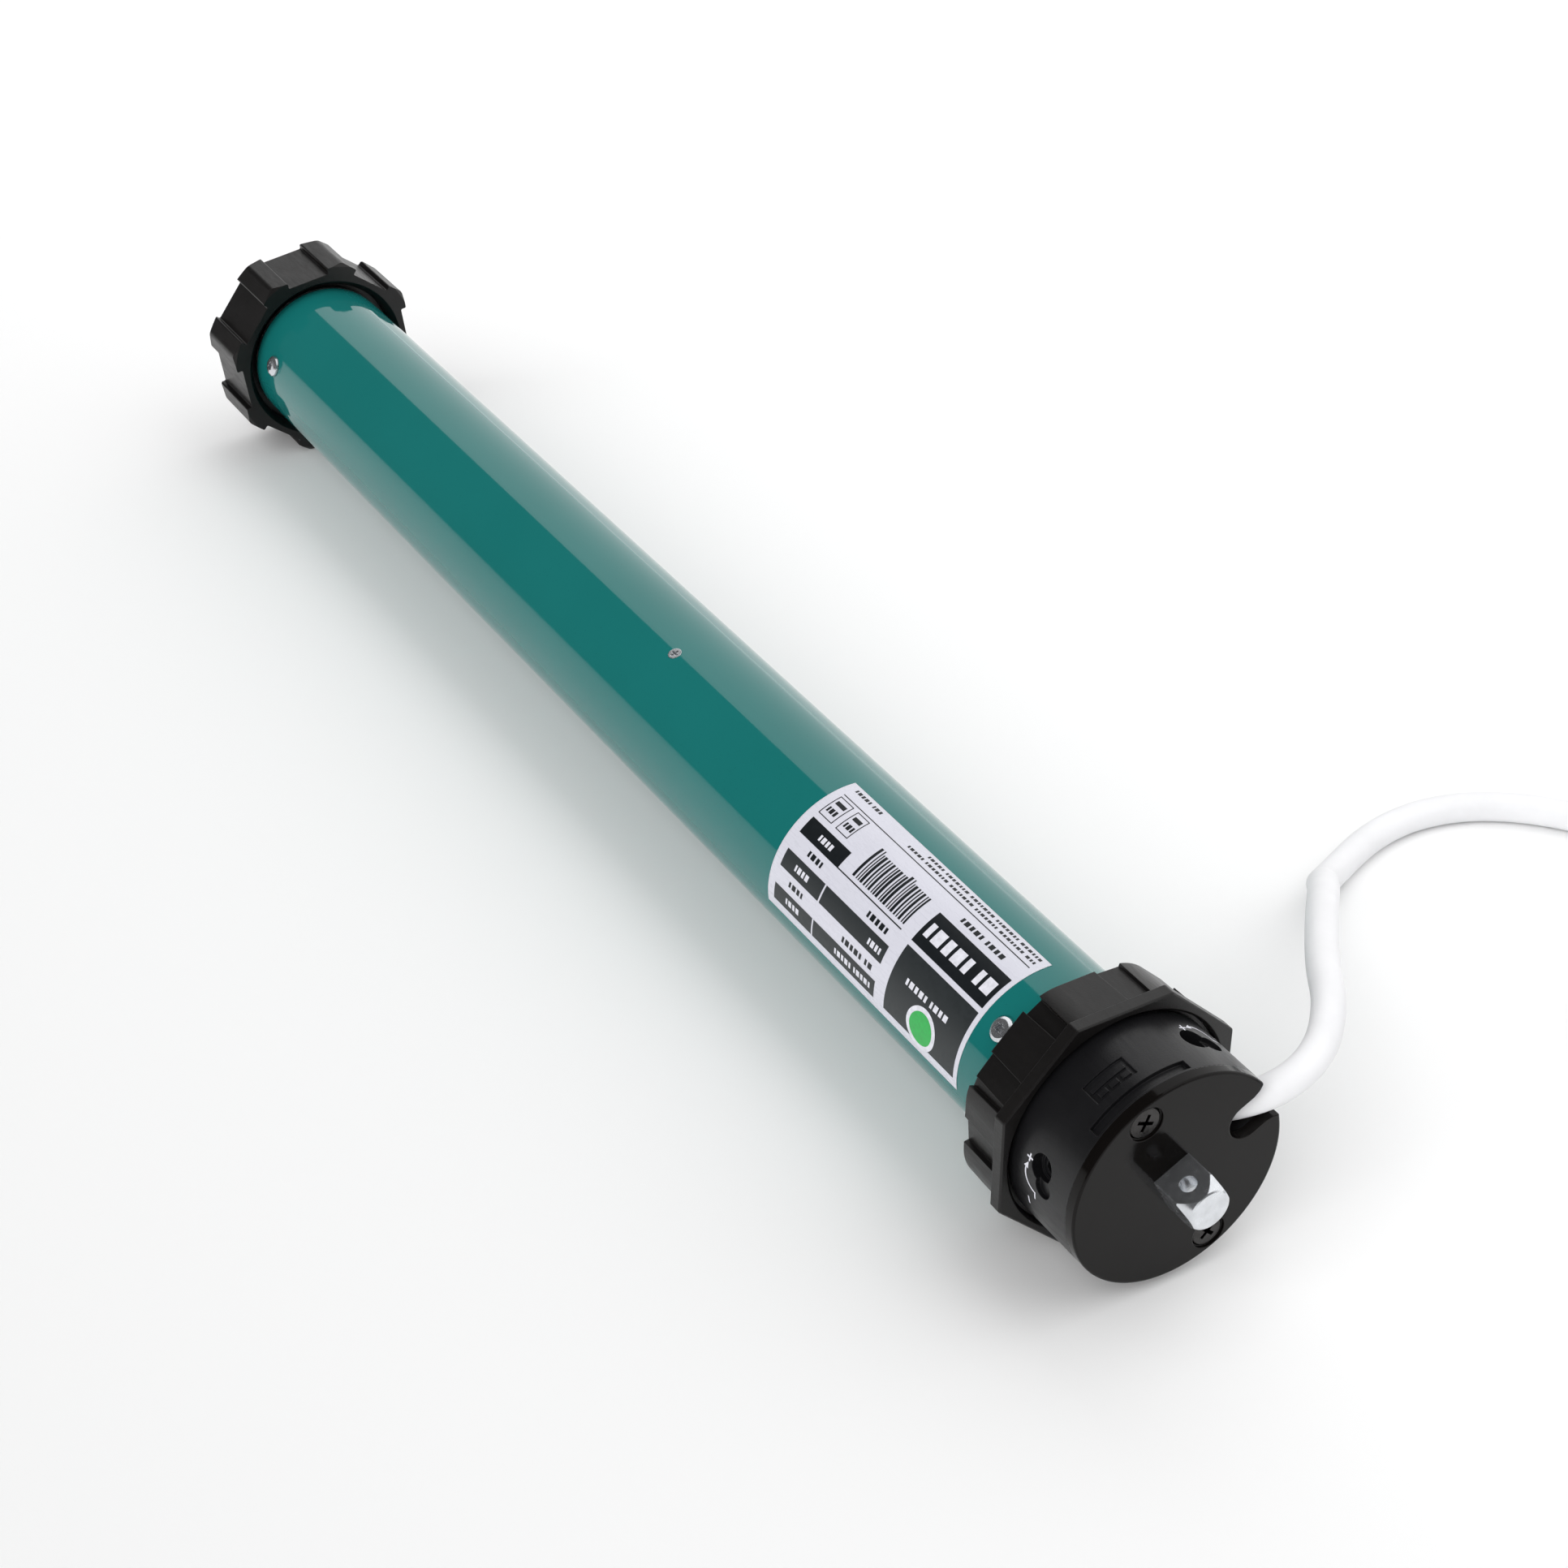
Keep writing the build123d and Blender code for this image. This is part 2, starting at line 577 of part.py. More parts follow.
def rotor_core():
    stack = rod(ROTOR_R, -237, -145)
    rings = turned([(-241, 6.4), (-241, 10.6), (-239.5, 11.2), (-142.5, 11.2), (-141, 10.6),
                    (-141, 6.4)])
    fins = [Rot(60 * i, 0, 0) * block(-244, -138, 8.2, 10.2, -0.8, 0.8) for i in range(6)]
    return joined([stack, rings, *fins]) - rod(4.0, -250, -130)


def rotor_shaft():
    return turned([(-330, 0), (-330, 2.3), (-316, 2.3), (-316, JOURNAL_R), (-255.6, JOURNAL_R),
                   (-255.6, 4), (-127.4, 4), (-127.4, JOURNAL_R), (-119.8, JOURNAL_R),
                   (-119.3, 2.5), (-119.3, 0)])


def rotor_bearings():
    """Sealed ball bearings, drawn as their two rings and seals."""
    bearings = []
    for x in (-127, -262):
        bearings.append(turned([(x, JOURNAL_R + 0.05), (x, 4.4), (x + 0.4, 4.6), (x + 0.4, 7.9),
                                (x, 8.1), (x, BEARING_R), (x + 6, BEARING_R), (x + 6, 8.1),
                                (x + 5.6, 7.9), (x + 5.6, 4.6), (x + 6, 4.4),
                                (x + 6, JOURNAL_R + 0.05)]))
    return bearings


def wire_lines(gap=0.0):
    """Four wires from the cable's plug through the neck to the windings.

    Beside the capacitor they lie in a row along it. gap makes them thicker, for the holes that
    they pass through.
    """
    wires = []
    for place in range(4):
        side = place - 1.5
        y, z = polar(WIRES_AT, 7.0 * side)
        points = [(-12.65, 12.9, 1.9 * side - 0.4), (-15.4, 9.8, 1.9 * side), (-24, 7.6, 2.0 * side),
                  (-46, 5.0, 2.1 * side), (-57, y, z), (CORE[1] + 14, y, z)]
        path = FilletPolyline(*points, radius=2.5)
        section = Plane(origin=path @ 0, z_dir=path % 0) * Circle(0.85 + gap)
        wires.append(rolled(sweep(section, path=path)))
    return wires


# ------------------------------------------------------------------ brake

BRAKE = (-308.0, -266.0)


def brake_housing():
    back, front = BRAKE
    cup = rod(INSIDE_R, back, front) - rod(19.8, -293, front + 1) - rod(4.0, back - 1, -290)
    return cup


def brake_coil():
    """The brake's pot magnet with its coil."""
    pot = tube(19.6, 5.0, -284.8, -267.0) - tube(15.5, 8.0, -285.5, -274.0)
    return pot + tube(15.2, 11.5, -284.4, -273.5)


def brake_armature():
    disc = tube(18.4, 4.4, -288.3, -285.3)
    for angle in (0, 120, 240):
        disc = disc - Rot(angle, 0, 0) * rod(1.6, -289, -285, 16.0, 0)
    return disc


def brake_spring():
    pitch, turns, coil_r, wire_r = 2.32, 4.2, 9.8, 0.7
    path = Helix(pitch, pitch * turns, coil_r)
    spring = sweep(Plane(origin=path @ 0, z_dir=path % 0) * Circle(wire_r), path=path)
    return Pos(-284.53, 0, 0) * Rot(0, 90, 0) * spring


def brake_disc():
    """The friction disc and its hub, fast on the rotor shaft."""
    disc = tube(17.6, JOURNAL_R, -292.6, -288.5)
    return disc - tube(14.5, 8.0, -289.5, -288)


# ------------------------------------------------------------------ gearbox


def ring_gear():
    """One barrel with teeth inside, shared by all three stages."""
    barrel = prism(facets(INSIDE_R, 90), RING_GEAR_FROM, RING_GEAR_TO)
    return barrel - prism(internal(RING_TEETH, GEAR_MODULE), RING_GEAR_FROM - 1, RING_GEAR_TO + 1)


def planet(stage, place):
    """A planet wheel in mesh: it has a tooth on its inner side and a space on its outer side."""
    back, front, _ = STAGES[stage]
    wheel = prism(spur(PLANET_TEETH, GEAR_MODULE, 180), back, front)
    wheel = wheel - prism(facets(PLANET_BORE_R, 36), back - 1, front + 1)
    return Rot(360 * place / PLANETS, 0, 0) * Pos(0, PLANET_ORBIT, 0) * wheel


def sun(back, front):
    """A sun gear with a space towards +Y."""
    return prism(spur(SUN_TEETH, GEAR_MODULE, 180 / SUN_TEETH), back, front)


def sun_gear_1():
    """Pressed on the end of the rotor shaft."""
    return sun(-329.5, -318.5) - rod(2.3, -331, -316)


def carrier(stage):
    """A plate behind the planets with a pin for each."""
    back, front, plate_back = STAGES[stage]
    plate = prism(facets(16.3, 90), plate_back, back - 0.3)
    pin = prism(facets(PLANET_PIN_R, 36), back - 0.3, front - 0.5)
    pins = at_each(Pos(0, PLANET_ORBIT, 0) * pin, PLANETS)
    return joined([plate, *pins])


def output_shaft():
    half = SHAFT_SQUARE / 2
    round_part = rod(7.0, -447.0, -389.3)
    square = block(SHAFT_END, -446.5, -half, half, -half, half)
    square = chamfer(square.edges().filter_by(Axis.X), 0.8)
    groove = tube(12, 5.4, -467.4, -466.2)
    return round_part + square - groove


def gearbox_end_cover():
    cover = turned([(-447.2, 9.0), (-447.2, 22.4), (TUBE_BACK, 22.4), (TUBE_BACK, INSIDE_R),
                    (-396.3, INSIDE_R), (-396.3, 9.0)])
    cover = cover - tube(19.0, 11.5, -425, -399)
    for turn in (0, 180):
        cover = cover - spoke(1.5, 15, 23, GEARBOX_SCREW_X, GEARBOX_SCREW_ANGLE + turn)
    return cover


def output_bushes():
    return [tube(9.0, 7.05, -412, -396.8), tube(9.0, 7.05, -447.2, -430)]


def drive_wheel():
    """Eight rounded ridges with flat valleys between them, hollow at both ends."""
    face = facets(WHEEL_CORNER_R, 8, WHEEL_CORNER_ANGLE)
    face = fillet(face.vertices(), RIDGE_ROUNDING)
    for i in range(8):
        turn = Rot(0, 0, WHEEL_CORNER_ANGLE + 22.5 + 45 * i)
        face = face - turn * Pos(VALLEY_R + 5, 0) * Rectangle(10, VALLEY_WIDTH)
    valley_corners = face.vertices().filter_by(lambda v: Vector(v.X, v.Y).length < WHEEL_CORNER_R - 1.5)
    face = fillet(valley_corners, VALLEY_ROUNDING)
    ends = turned([(WHEEL_BACK, 0), (WHEEL_BACK, 29.6), (WHEEL_BACK + 2.2, 32), (WHEEL_FRONT - 1.2, 32),
                   (WHEEL_FRONT, 30.6), (WHEEL_FRONT, 0)])
    outer = prism(face, WHEEL_BACK, WHEEL_FRONT) & ends
    funnel = turned([(WHEEL_FRONT + 1, 0), (WHEEL_FRONT + 1, 26.2), (WHEEL_FRONT, 25.8),
                     (-446, 24.0), (-449, 24.0), (-449, 0)])
    back = tube(25.6, 10.0, WHEEL_BACK - 1, -453)
    wheel = outer - funnel - back
    ribs = [Rot(WHEEL_CORNER_ANGLE + 45 * i, 0, 0) * block(-464, -452, 9, 26.5, -0.9, 0.9)
            for i in range(8)]
    wheel = joined([wheel, *ribs])
    half = SHAFT_SQUARE / 2 + 0.05
    return wheel - block(WHEEL_BACK - 1, -440, -half, half, -half, half)


def drive_clip():
    ring = tube(8.2, 5.45, -467.3, -466.3)
    return ring - block(-468, -466, 2, 12, -2.2, 2.2)


# ------------------------------------------------------------------ supply cable


def corner_radii(points):
    """The largest arc that fits each corner: 0.45 of the shorter run by the tangent."""
    radii = []
    for before, at, after in zip(points, points[1:], points[2:]):
        come, go = Vector(*at) - Vector(*before), Vector(*after) - Vector(*at)
        turn = radians(come.get_angle(go))
        radii.append(0.45 * min(come.length, go.length) / tan(turn / 2))
    return radii


def cable_path(points):
    return FilletPolyline(*points, radius=corner_radii(points))


def round_bar(path, radius):
    return sweep(Plane(origin=path @ 0, z_dir=path % 0) * Circle(radius), path=path)


def cable_coil():
    """The outer shape of the coil that most of the cable is wound into."""
    half_width = COIL_WIDE * CABLE_R
    height = COIL_HIGH * 2 * CABLE_R
    ring = Cylinder(COIL_MEAN_R + half_width, height) - Cylinder(COIL_MEAN_R - half_width, height)
    ring = fillet(ring.edges(), 3.0)
    return Pos(*COIL_CENTRE, FLOOR_Z + height / 2) * ring


def cable_cores():
    """The four cores where the sheath stops, fanned out on the floor."""
    x, y, z = TAIL_ROUTE[-1]
    cores = []
    for column, row, fan in ((-1, 1, -5.5), (-1, -1, -1.9), (1, -1, 1.9), (1, 1, 5.5)):
        points = [(x + 1.4 * column, y, z + 1.4 * row), (x + 1.6 * column, y - 4, z + 1.2 * row),
                  (x + fan, y - 18, FLOOR_Z + CORE_R), (x + 2.4 * fan, y - 42, FLOOR_Z + CORE_R)]
        cores.append(round_bar(FilletPolyline(*points, radius=5), CORE_R))
    return cores


# ------------------------------------------------------------------ all nodes

nodes = {
    "face_plate": face_plate(),
    "face_screws": face_screws(),
    "head_pin": head_pin(),
    "head_housing": head_housing(),
    "cable_plug": cable_plug(),
    "limit_drive_ring": limit_drive_ring(),
    "limit_pinion": limit_pinion(),
    "upper_limit_wheel": limit_wheel(-1),
    "lower_limit_wheel": limit_wheel(1),
    "upper_adjuster": adjuster(ADJUSTER_ANGLES["upper"]),
    "lower_adjuster": adjuster(ADJUSTER_ANGLES["lower"]),
    "limit_switches": limit_switches(),
    "upper_switch_button": switch_button(-1),
    "lower_switch_button": switch_button(1),
    "crown_ring": crown_ring(),
    "tube_spigot": tube_spigot(),
    "motor_tube": motor_tube(),
    "tube_screws": tube_screws(),
    "stator_screws": stator_screws(),
    "rating_label": rating_label(),
    "capacitor": capacitor(),
    "inner_wires": wire_lines(),
    "front_end_shield": front_end_shield(),
    "rear_end_shield": rear_end_shield(),
    "stator_core": stator_core(),
    "stator_windings": stator_windings(),
    "rotor_core": rotor_core(),
    "rotor_shaft": rotor_shaft(),
    "rotor_bearings": rotor_bearings(),
    "brake_housing": brake_housing(),
    "brake_coil": brake_coil(),
    "brake_armature": brake_armature(),
    "brake_spring": brake_spring(),
    "brake_disc": brake_disc(),
    "ring_gear": ring_gear(),
    "sun_gear_1": sun_gear_1(),
    "carrier_1": carrier(0),
    "sun_gear_2": sun(-349.7, -334.0),
    "carrier_2": carrier(1),
    "sun_gear_3": sun(-379.7, -355.3),
    "output_carrier": carrier(2),
    "output_shaft": output_shaft(),
    "gearbox_end_cover": gearbox_end_cover(),
    "output_bushes": output_bushes(),
    "drive_wheel": drive_wheel(),
    "drive_clip": drive_clip(),
    "cable": round_bar(cable_path(CABLE_ROUTE), CABLE_R),
    "cable_tail": round_bar(cable_path(TAIL_ROUTE), CABLE_R),
    "cable_coil": cable_coil(),
    "cable_cores": cable_cores(),
}
for stage in range(len(STAGES)):
    for place in range(PLANETS):
        nodes[f"planet_{stage + 1}{'abc'[place]}"] = planet(stage, place)


def solids_of(shape):
    if isinstance(shape, list):
        return [solid for item in shape for solid in solids_of(item)]
    return list(shape.solids())


os.makedirs("parts", exist_ok=True)
for name, shape in nodes.items():
    solids = solids_of(shape)
    whole = solids[0] if len(solids) == 1 else Compound(children=solids)
    export_step(whole, f"parts/{name}.step")

coil_radii = [COIL_MEAN_R + 2 * CABLE_R * place for place in (1, 0, -1, -1, 0)]
last_turn = 0.356 * (COIL_MEAN_R + 2 * CABLE_R)
coil_length = 2 * pi * (sum(coil_radii) + last_turn) + 40.4
total = coil_length
for name, route in (("cable", CABLE_ROUTE), ("cable_tail", TAIL_ROUTE)):
    length = cable_path(route).length
    total += length
    fill = solids_of(nodes[name])[0].volume / (pi * CABLE_R**2 * length)
    print(name, "bend radii:", [round(r, 1) for r in corner_radii(route)], "length:", round(length, 1),
          "volume / (section x length):", round(fill, 3))
print("cable in all:", round(total), "nodes:", len(nodes))
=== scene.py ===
import json
from math import cos, degrees, pi, radians, sin

import bpy
from mathutils import Matrix, Vector


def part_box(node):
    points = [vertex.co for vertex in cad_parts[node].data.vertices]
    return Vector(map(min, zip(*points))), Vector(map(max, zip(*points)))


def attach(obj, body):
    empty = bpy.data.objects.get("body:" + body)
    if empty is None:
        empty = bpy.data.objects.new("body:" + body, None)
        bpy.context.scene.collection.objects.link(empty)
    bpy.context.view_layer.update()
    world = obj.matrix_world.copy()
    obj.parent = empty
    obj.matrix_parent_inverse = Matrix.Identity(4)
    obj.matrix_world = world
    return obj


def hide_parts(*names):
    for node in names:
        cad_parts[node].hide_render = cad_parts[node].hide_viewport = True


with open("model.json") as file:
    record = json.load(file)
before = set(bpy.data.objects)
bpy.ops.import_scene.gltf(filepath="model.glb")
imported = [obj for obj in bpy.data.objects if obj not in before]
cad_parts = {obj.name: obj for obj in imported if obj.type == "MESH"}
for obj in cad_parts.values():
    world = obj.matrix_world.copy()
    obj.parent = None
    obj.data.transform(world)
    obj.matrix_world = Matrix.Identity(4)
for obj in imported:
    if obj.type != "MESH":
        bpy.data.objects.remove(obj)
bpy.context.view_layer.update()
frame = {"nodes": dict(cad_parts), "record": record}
nodes = frame["nodes"]
MM = 0.001

# Lengths are in metres, unless a name or a comment says millimetres. Angles are in degrees about X,
# from +Y towards +Z.
HEAD_ROLL = 26.5
FLOOR_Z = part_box("cable_coil")[0][2]
TUBE_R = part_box("motor_tube")[1][2]
LABEL_T = 0.12 * MM
DRUM_R = 27.5 * MM
FLOOR_HALF = 150.0
CAMERA_AT = (0.3691, -0.3199, 0.4420)
CAMERA_BACKWARDS = (0.7009, -0.4211, 0.5757)
LENS_MM = 69.716


# ------------------------------------------------------------------ camera, floor and light


def make_camera():
    data = bpy.data.cameras.new("camera")
    data.sensor_width = 36
    data.lens = LENS_MM
    data.clip_start = 0.01
    camera = bpy.data.objects.new("camera", data)
    bpy.context.scene.collection.objects.link(camera)
    backwards = Vector(CAMERA_BACKWARDS).normalized()
    right = Vector((0, 0, 1)).cross(backwards).normalized()
    up = backwards.cross(right)
    turn = Matrix((right, up, backwards)).transposed()
    camera.matrix_world = Matrix.Translation(CAMERA_AT) @ turn.to_4x4()
    bpy.context.scene.camera = camera


def add_light(name, kind, **settings):
    data = bpy.data.lights.new(name, kind)
    for setting, value in settings.items():
        setattr(data, setting, value)
    light = bpy.data.objects.new(name, data)
    bpy.context.scene.collection.objects.link(light)
    return light


def soft_box(name, low, high, from_x, to_x, radiance):
    """A flat panel along X. Its short side runs from low to high, given as (y, z) in metres."""
    a, b = Vector((0, *low)), Vector((0, *high))
    length, width = to_x - from_x, (b - a).length
    light = add_light(name, "AREA", shape="RECTANGLE", size=length, size_y=width,
                      energy=radiance * pi * length * width)
    x_axis = Vector((1, 0, 0))
    y_axis = (b - a).normalized()
    middle = (a + b) / 2 + x_axis * (from_x + to_x) / 2
    z_axis = x_axis.cross(y_axis)
    if z_axis.dot(middle) < 0:
        y_axis, z_axis = -y_axis, -z_axis
    turn = Matrix((x_axis, y_axis, z_axis)).transposed()
    light.matrix_world = Matrix.Translation(middle) @ turn.to_4x4()


def fill(name, direction, strength):
    """Very soft light from far away, which shows in no reflection."""
    light = add_light(name, "SUN", energy=strength, angle=radians(70))
    light.rotation_euler = Vector(direction).to_track_quat("Z", "Y").to_euler()
    light.visible_glossy = False


def make_stage():
    corners = [(x * FLOOR_HALF, y * FLOOR_HALF, FLOOR_Z) for x, y in ((-1, -1), (1, -1), (1, 1), (-1, 1))]
    floor = mesh_object("floor", corners, [(0, 1, 2, 3)], smooth=False)
    material, _, shader = new_material("floor")
    shader.inputs["Base Color"].default_value = (0.90, 0.90, 0.90, 1)
    shader.inputs["Roughness"].default_value = 0.8
    shader.inputs["Specular IOR Level"].default_value = 0.1
    floor.data.materials.append(material)

    world = bpy.data.worlds.new("studio")
    world.use_nodes = True
    background = world.node_tree.nodes["Background"]
    background.inputs["Color"].default_value = (1.0, 1.0, 1.0, 1)
    background.inputs["Strength"].default_value = 0.06
    bpy.context.scene.world = world
    bpy.context.scene.view_settings.view_transform = "Standard"

    # The tube mirrors the box as its bright upper band; the box's upper edge ends that band.
    soft_box("back_box", (1.25, -0.03), (0.13, 1.22), -2.9, 1.1, 1.1)
    fill("top_fill", (0.15, 0.0, 0.95), 0.8)
    fill("front_fill", (0.35, -0.85, 0.5), 2.4)


# ------------------------------------------------------------------ materials


def new_material(name):
    material = bpy.data.materials.new(name)
    material.use_nodes = True
    tree = material.node_tree
    return material, tree, tree.nodes["Principled BSDF"]


def put(tree, value, socket):
    """Links an output to the socket, or writes a plain value on it."""
    if isinstance(value, bpy.types.NodeSocket):
        tree.links.new(value, socket)
    else:
        socket.default_value = value


def add(tree, kind, **inputs):
    """Adds a node and puts a value or an output into each of the named inputs."""
    node = tree.nodes.new(kind)
    for name, value in inputs.items():
        put(tree, value, node.inputs[name])
    return node


def multiply(tree, first, second):
    node = tree.nodes.new("ShaderNodeMath")
    node.operation = "MULTIPLY"
    put(tree, first, node.inputs[0])
    put(tree, second, node.inputs[1])
    return node.outputs[0]


def place(tree, scale=(1, 1, 1)):
    """The point on the object, in metres, stretched by scale."""
    coordinates = tree.nodes.new("ShaderNodeTexCoord")
    mapping = add(tree, "ShaderNodeMapping", Vector=coordinates.outputs["Object"], Scale=scale)
    return mapping.outputs["Vector"]


def noise(tree, where, scale, detail=4.0, roughness=0.6):
    node = add(tree, "ShaderNodeTexNoise", Vector=where, Scale=scale, Detail=detail, Roughness=roughness)
    return node.outputs["Fac"]


def ramp(tree, factor, stops):
    """A ramp from (place, colour or grey) stops."""
    node = add(tree, "ShaderNodeValToRGB", Fac=factor)
    elements = node.color_ramp.elements
    while len(elements) < len(stops):
        elements.new(0.5)
    for element, (at, value) in zip(elements, stops):
        element.position = at
        element.color = (*value, 1) if isinstance(value, tuple) else (value, value, value, 1)
    return node.outputs["Color"]


def bump(tree, shader, heights, strength, distance, normal=None):
    """Adds bumps from one height after another, each on top of the last."""
    for height, amount in zip(heights, strength):
        node = add(tree, "ShaderNodeBump", Strength=amount, Distance=distance, Height=height)
        if normal is not None:
            put(tree, normal, node.inputs["Normal"])
        normal = node.outputs["Normal"]
    put(tree, normal, shader.inputs["Normal"])


def shade(rgb, factor):
    return tuple(min(1.0, channel * factor) for channel in rgb)


def soft_edges(tree, radius):
    """Normals rounded over the edges, and how near an edge each point is, from 0 to 1."""
    rounded = add(tree, "ShaderNodeBevel", Radius=radius)
    rounded.samples = 6
    plain = tree.nodes.new("ShaderNodeNewGeometry")
    same = tree.nodes.new("ShaderNodeVectorMath")
    same.operation = "DOT_PRODUCT"
    put(tree, rounded.outputs["Normal"], same.inputs[0])
    put(tree, plain.outputs["Normal"], same.inputs[1])
    near = ramp(tree, same.outputs["Value"], [(0.80, 1.0), (0.985, 0.0)])
    return rounded.outputs["Normal"], near


def mix(tree, factor, first, second):
    """A colour between two: the first an output, the second an (r, g, b)."""
    node = tree.nodes.new("ShaderNodeMix")
    node.data_type = "RGBA"
    put(tree, factor, node.inputs[0])
    put(tree, first, node.inputs[6])
    put(tree, (*second, 1), node.inputs[7])
    return node.outputs[2]


def plastic(name, rgb, rough, grain=2600.0, grain_strength=0.25, spread=0.25, specular=0.5, edges=0.0003):
    """Moulded plastic: fine spark-eroded grain, uneven gloss, and edges rubbed a little paler."""
    material, tree, shader = new_material(name)
    where = place(tree)
    cloud = noise(tree, where, 60.0, 5.0)
    colour = ramp(tree, cloud, [(0.3, shade(rgb, 1 - spread)), (0.7, shade(rgb, 1 + spread))])
    normal, near_edge = soft_edges(tree, edges)
    scuffs = noise(tree, place(tree, (1, 6, 6)), 180.0, 6.0, 0.7)
    rubbed = multiply(tree, near_edge, scuffs)
    pale = tuple(min(1.0, 2.2 * channel + 0.006) for channel in rgb)
    put(tree, mix(tree, rubbed, colour, pale), shader.inputs["Base Color"])
    gloss = ramp(tree, scuffs, [(0.35, rough * 0.85), (0.7, min(1.0, rough * 1.25))])
    put(tree, gloss, shader.inputs["Roughness"])
    shader.inputs["Specular IOR Level"].default_value = specular
    fine = noise(tree, where, grain, 2.0, 0.5)
    bump(tree, shader, [fine, cloud], [grain_strength, 0.12], 0.0001, normal)
    return material


def metal(name, rgb, rough, brush=(40, 900, 900), mottle=0.2, brush_strength=0.2, edges=0.0002,
          metallic=1.0):
    """Bare metal: fine lines along the way it was turned or drawn, and a mottled gloss."""
    material, tree, shader = new_material(name)
    shader.inputs["Metallic"].default_value = metallic
    lines = noise(tree, place(tree, brush), 1.0, 4.0, 0.65)
    spots = noise(tree, place(tree), 420.0, 5.0, 0.6)
    colour = ramp(tree, spots, [(0.3, shade(rgb, 1 - mottle)), (0.7, shade(rgb, 1 + mottle))])
    put(tree, colour, shader.inputs["Base Color"])
    gloss = ramp(tree, spots, [(0.3, rough * 0.7), (0.75, min(1.0, rough * 1.4))])
    put(tree, gloss, shader.inputs["Roughness"])
    normal = soft_edges(tree, edges)[0]
    bump(tree, shader, [lines, spots], [brush_strength, 0.1], 0.00006, normal)
    return material


def teal_paint():
    """Glossy coil-coated paint: even colour, slight orange peel, a few fine specks."""
    material, tree, shader = new_material("teal_paint")
    where = place(tree)
    cloud = noise(tree, where, 14.0, 3.0)
    colour = ramp(tree, cloud, [(0.3, (0.0062, 0.142, 0.134)), (0.7, (0.0078, 0.152, 0.144))])
    specks = noise(tree, where, 2400.0, 1.0)
    dark = ramp(tree, specks, [(0.70, 0.0), (0.78, 1.0)])
    put(tree, mix(tree, dark, colour, (0.005, 0.110, 0.104)), shader.inputs["Base Color"])
    haze = noise(tree, place(tree, (1, 3, 3)), 90.0, 5.0, 0.65)
    put(tree, ramp(tree, haze, [(0.3, 0.045), (0.7, 0.085)]), shader.inputs["Roughness"])
    peel = noise(tree, where, 420.0, 2.0, 0.4)
    bump(tree, shader, [peel], [0.02], 0.00008)
    return material


def laminations():
    """A stack of thin steel sheets, seen as fine rings along X."""
    material, tree, shader = new_material("lamination")
    shader.inputs["Metallic"].default_value = 0.9
    wave = add(tree, "ShaderNodeTexWave", Vector=place(tree), Scale=320.0, Distortion=0.4)
    wave.bands_direction = "X"
    colour = ramp(tree, wave.outputs["Fac"], [(0.2, (0.09, 0.10, 0.12)), (0.8, (0.30, 0.31, 0.33))])
    put(tree, colour, shader.inputs["Base Color"])
    shader.inputs["Roughness"].default_value = 0.42
    bump(tree, shader, [wave.outputs["Fac"]], [0.5], 0.0002)
    return material


def copper_wire():
    """Enamelled wire in close turns."""
    material, tree, shader = new_material("copper")
    shader.inputs["Metallic"].default_value = 0.85
    wave = add(tree, "ShaderNodeTexWave", Vector=place(tree, (0.3, 1, 1)), Scale=420.0, Distortion=3.0,
               Detail=2.0)
    colour = ramp(tree, wave.outputs["Fac"], [(0.1, (0.20, 0.05, 0.015)), (0.8, (0.72, 0.26, 0.09))])
    put(tree, colour, shader.inputs["Base Color"])
    shader.inputs["Roughness"].default_value = 0.3
    bump(tree, shader, [wave.outputs["Fac"]], [0.8], 0.0003)
    return material


def cable_sheath():
    """White PVC: slightly translucent, faint draw lines and grime."""
    material, tree, shader = new_material("white_cable")
    where = place(tree)
    cloud = noise(tree, where, 45.0, 5.0)
    colour = ramp(tree, cloud, [(0.3, (0.79, 0.79, 0.805)), (0.7, (0.86, 0.86, 0.875))])
    put(tree, colour, shader.inputs["Base Color"])
    put(tree, ramp(tree, cloud, [(0.3, 0.38), (0.7, 0.5)]), shader.inputs["Roughness"])
    shader.inputs["Subsurface Weight"].default_value = 0.15
    shader.inputs["Subsurface Radius"].default_value = (0.002, 0.002, 0.002)
    shader.inputs["Subsurface Scale"].default_value = 1.0
    fine = noise(tree, where, 1500.0, 2.0)
    bump(tree, shader, [fine], [0.12], 0.0001)
    return material


def print_ink(name, rgb, rough=0.4):
    """Printed ink: nearly flat, with a slightly uneven deposit."""
    material, tree, shader = new_material(name)
    spots = noise(tree, place(tree), 900.0, 4.0)
    colour = ramp(tree, spots, [(0.3, shade(rgb, 0.88)), (0.7, shade(rgb, 1.12))])
    put(tree, colour, shader.inputs["Base Color"])
    put(tree, ramp(tree, spots, [(0.3, rough), (0.7, rough + 0.12)]), shader.inputs["Roughness"])
    bump(tree, shader, [spots], [0.1], 0.00003)
    return material


